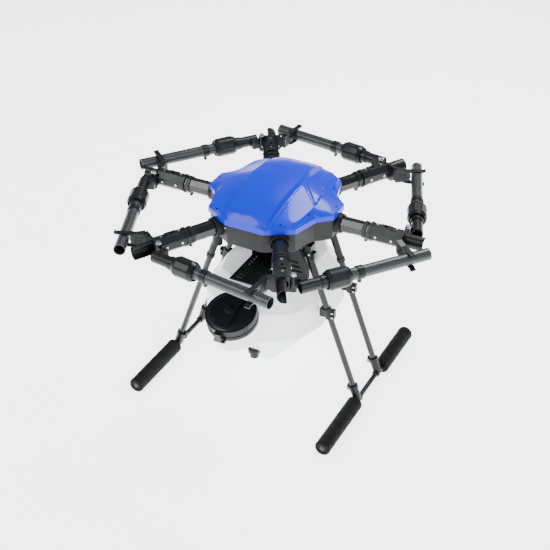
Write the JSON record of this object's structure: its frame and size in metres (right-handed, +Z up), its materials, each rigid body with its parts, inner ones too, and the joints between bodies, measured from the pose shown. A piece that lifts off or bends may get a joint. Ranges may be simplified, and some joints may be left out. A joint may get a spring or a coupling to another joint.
{
  "type": "agricultural spray drone airframe",
  "caption": "Folding-arm agricultural spray drone airframe with a blue cover, white spray tank and skid landing gear.",
  "frame": {"origin": "on the ground under the hub axis", "axes": "+Z up, -Y nose side with the filler lid, +X across the two skid tubes, to the right of somebody who stands in front of the nose and looks at the lid; arms folded at rest"},
  "size_m": [0.8782, 0.806, 0.593],
  "materials": {
    "joint_nylon": "satin moulded nylon",
    "arm_tube": "glossy dark coating",
    "carbon_twill": "glossy twill carbon",
    "carbon_plate": "flat carbon plate",
    "leg_carbon": "glossy dark tube",
    "bolt_steel": "bright steel",
    "hub_plastic": "dark moulded plastic",
    "cover_blue": "glossy blue",
    "circuit_board": "circuit board",
    "tank_polythene": "translucent white polythene",
    "lid_black": "satin black plastic",
    "foam_rubber": "black foam"
  },
  "bodies": {
    "airframe": {"inner_arm_1": "arm_tube", "fold_joint_1": "joint_nylon", "inner_arm_2": "arm_tube", "fold_joint_2": "joint_nylon", "inner_arm_3": "arm_tube", "fold_joint_3": "joint_nylon", "inner_arm_4": "arm_tube", "fold_joint_4": "joint_nylon", "inner_arm_5": "arm_tube", "fold_joint_5": "joint_nylon", "inner_arm_6": "arm_tube", "fold_joint_6": "joint_nylon", "inner_arm_rings": "joint_nylon", "hinge_bolts": "bolt_steel", "joint_screws": "bolt_steel", "arm_clips": "joint_nylon", "arm_collars": "hub_plastic", "hub_shell": "hub_plastic", "cover": "cover_blue", "centre_plates": "carbon_plate", "battery_tray": "carbon_plate", "louvre_panel": "hub_plastic", "power_board": "circuit_board", "hub_plugs": "hub_plastic", "tank": "tank_polythene", "tank_outlet": "lid_black", "neck_ring": "lid_black", "legs": "leg_carbon", "leg_brackets": "joint_nylon", "leg_clamps": "joint_nylon", "tee_clamps": "joint_nylon", "skid_tubes": "leg_carbon", "foam_sleeves": "foam_rubber"},
    "arm_1": {"outer_socket_1": "joint_nylon", "outer_arm_1": "carbon_twill", "arm_ring_1": "joint_nylon"},
    "nut_1": {"lock_nut_1": "joint_nylon"},
    "arm_2": {"outer_socket_2": "joint_nylon", "outer_arm_2": "carbon_twill", "arm_ring_2": "joint_nylon"},
    "nut_2": {"lock_nut_2": "joint_nylon"},
    "arm_3": {"outer_socket_3": "joint_nylon", "outer_arm_3": "carbon_twill", "arm_ring_3": "joint_nylon"},
    "nut_3": {"lock_nut_3": "joint_nylon"},
    "arm_4": {"outer_socket_4": "joint_nylon", "outer_arm_4": "carbon_twill", "arm_ring_4": "joint_nylon"},
    "nut_4": {"lock_nut_4": "joint_nylon"},
    "arm_5": {"outer_socket_5": "joint_nylon", "outer_arm_5": "carbon_twill", "arm_ring_5": "joint_nylon"},
    "nut_5": {"lock_nut_5": "joint_nylon"},
    "arm_6": {"outer_socket_6": "joint_nylon", "outer_arm_6": "carbon_twill", "arm_ring_6": "joint_nylon"},
    "nut_6": {"lock_nut_6": "joint_nylon"},
    "lid": {"tank_lid": "lid_black"},
    "latch": {"lid_latch": "lid_black"}
  },
  "joints": [
    {"name": "arm_1_fold", "type": "hinge", "parent": "airframe", "child": "arm_1", "pos_m": [0.19544, -0.29131, 0.499], "axis": [0, 0, 1], "range_deg": [-112, 0]},
    {"name": "nut_1_slide", "type": "slide", "parent": "arm_1", "child": "nut_1", "axis": [0.6157, 0.788, 0], "range_m": [-0.04, 0.019]},
    {"name": "arm_2_fold", "type": "hinge", "parent": "airframe", "child": "arm_2", "pos_m": [0.35, 0.0236, 0.499], "axis": [0, 0, 1], "range_deg": [-112, 0]},
    {"name": "nut_2_slide", "type": "slide", "parent": "arm_2", "child": "nut_2", "axis": [-0.3746, 0.9272, 0], "range_m": [-0.04, 0.019]},
    {"name": "arm_3_fold", "type": "hinge", "parent": "airframe", "child": "arm_3", "pos_m": [0.15456, 0.31491, 0.499], "axis": [0, 0, 1], "range_deg": [-112, 0]},
    {"name": "nut_3_slide", "type": "slide", "parent": "arm_3", "child": "nut_3", "axis": [-0.9903, 0.1392, 0], "range_m": [-0.04, 0.019]},
    {"name": "arm_4_fold", "type": "hinge", "parent": "airframe", "child": "arm_4", "pos_m": [-0.19544, 0.29131, 0.499], "axis": [0, 0, 1], "range_deg": [-112, 0]},
    {"name": "nut_4_slide", "type": "slide", "parent": "arm_4", "child": "nut_4", "axis": [-0.6157, -0.788, 0], "range_m": [-0.04, 0.019]},
    {"name": "arm_5_fold", "type": "hinge", "parent": "airframe", "child": "arm_5", "pos_m": [-0.35, -0.0236, 0.499], "axis": [0, 0, 1], "range_deg": [-112, 0]},
    {"name": "nut_5_slide", "type": "slide", "parent": "arm_5", "child": "nut_5", "axis": [0.3746, -0.9272, 0], "range_m": [-0.04, 0.019]},
    {"name": "arm_6_fold", "type": "hinge", "parent": "airframe", "child": "arm_6", "pos_m": [-0.15456, -0.31491, 0.499], "axis": [0, 0, 1], "range_deg": [-112, 0]},
    {"name": "nut_6_slide", "type": "slide", "parent": "arm_6", "child": "nut_6", "axis": [0.9903, -0.1392, 0], "range_m": [-0.04, 0.019]},
    {"name": "lid_hinge", "type": "hinge", "parent": "airframe", "child": "lid", "pos_m": [0, -0.17505, 0.34164], "axis": [-1, 0, 0], "range_deg": [0, 66]},
    {"name": "latch_hinge", "type": "hinge", "parent": "airframe", "child": "latch", "pos_m": [0, -0.30521, 0.27622], "axis": [1, 0, 0], "range_deg": [0, 100]}
  ]
}
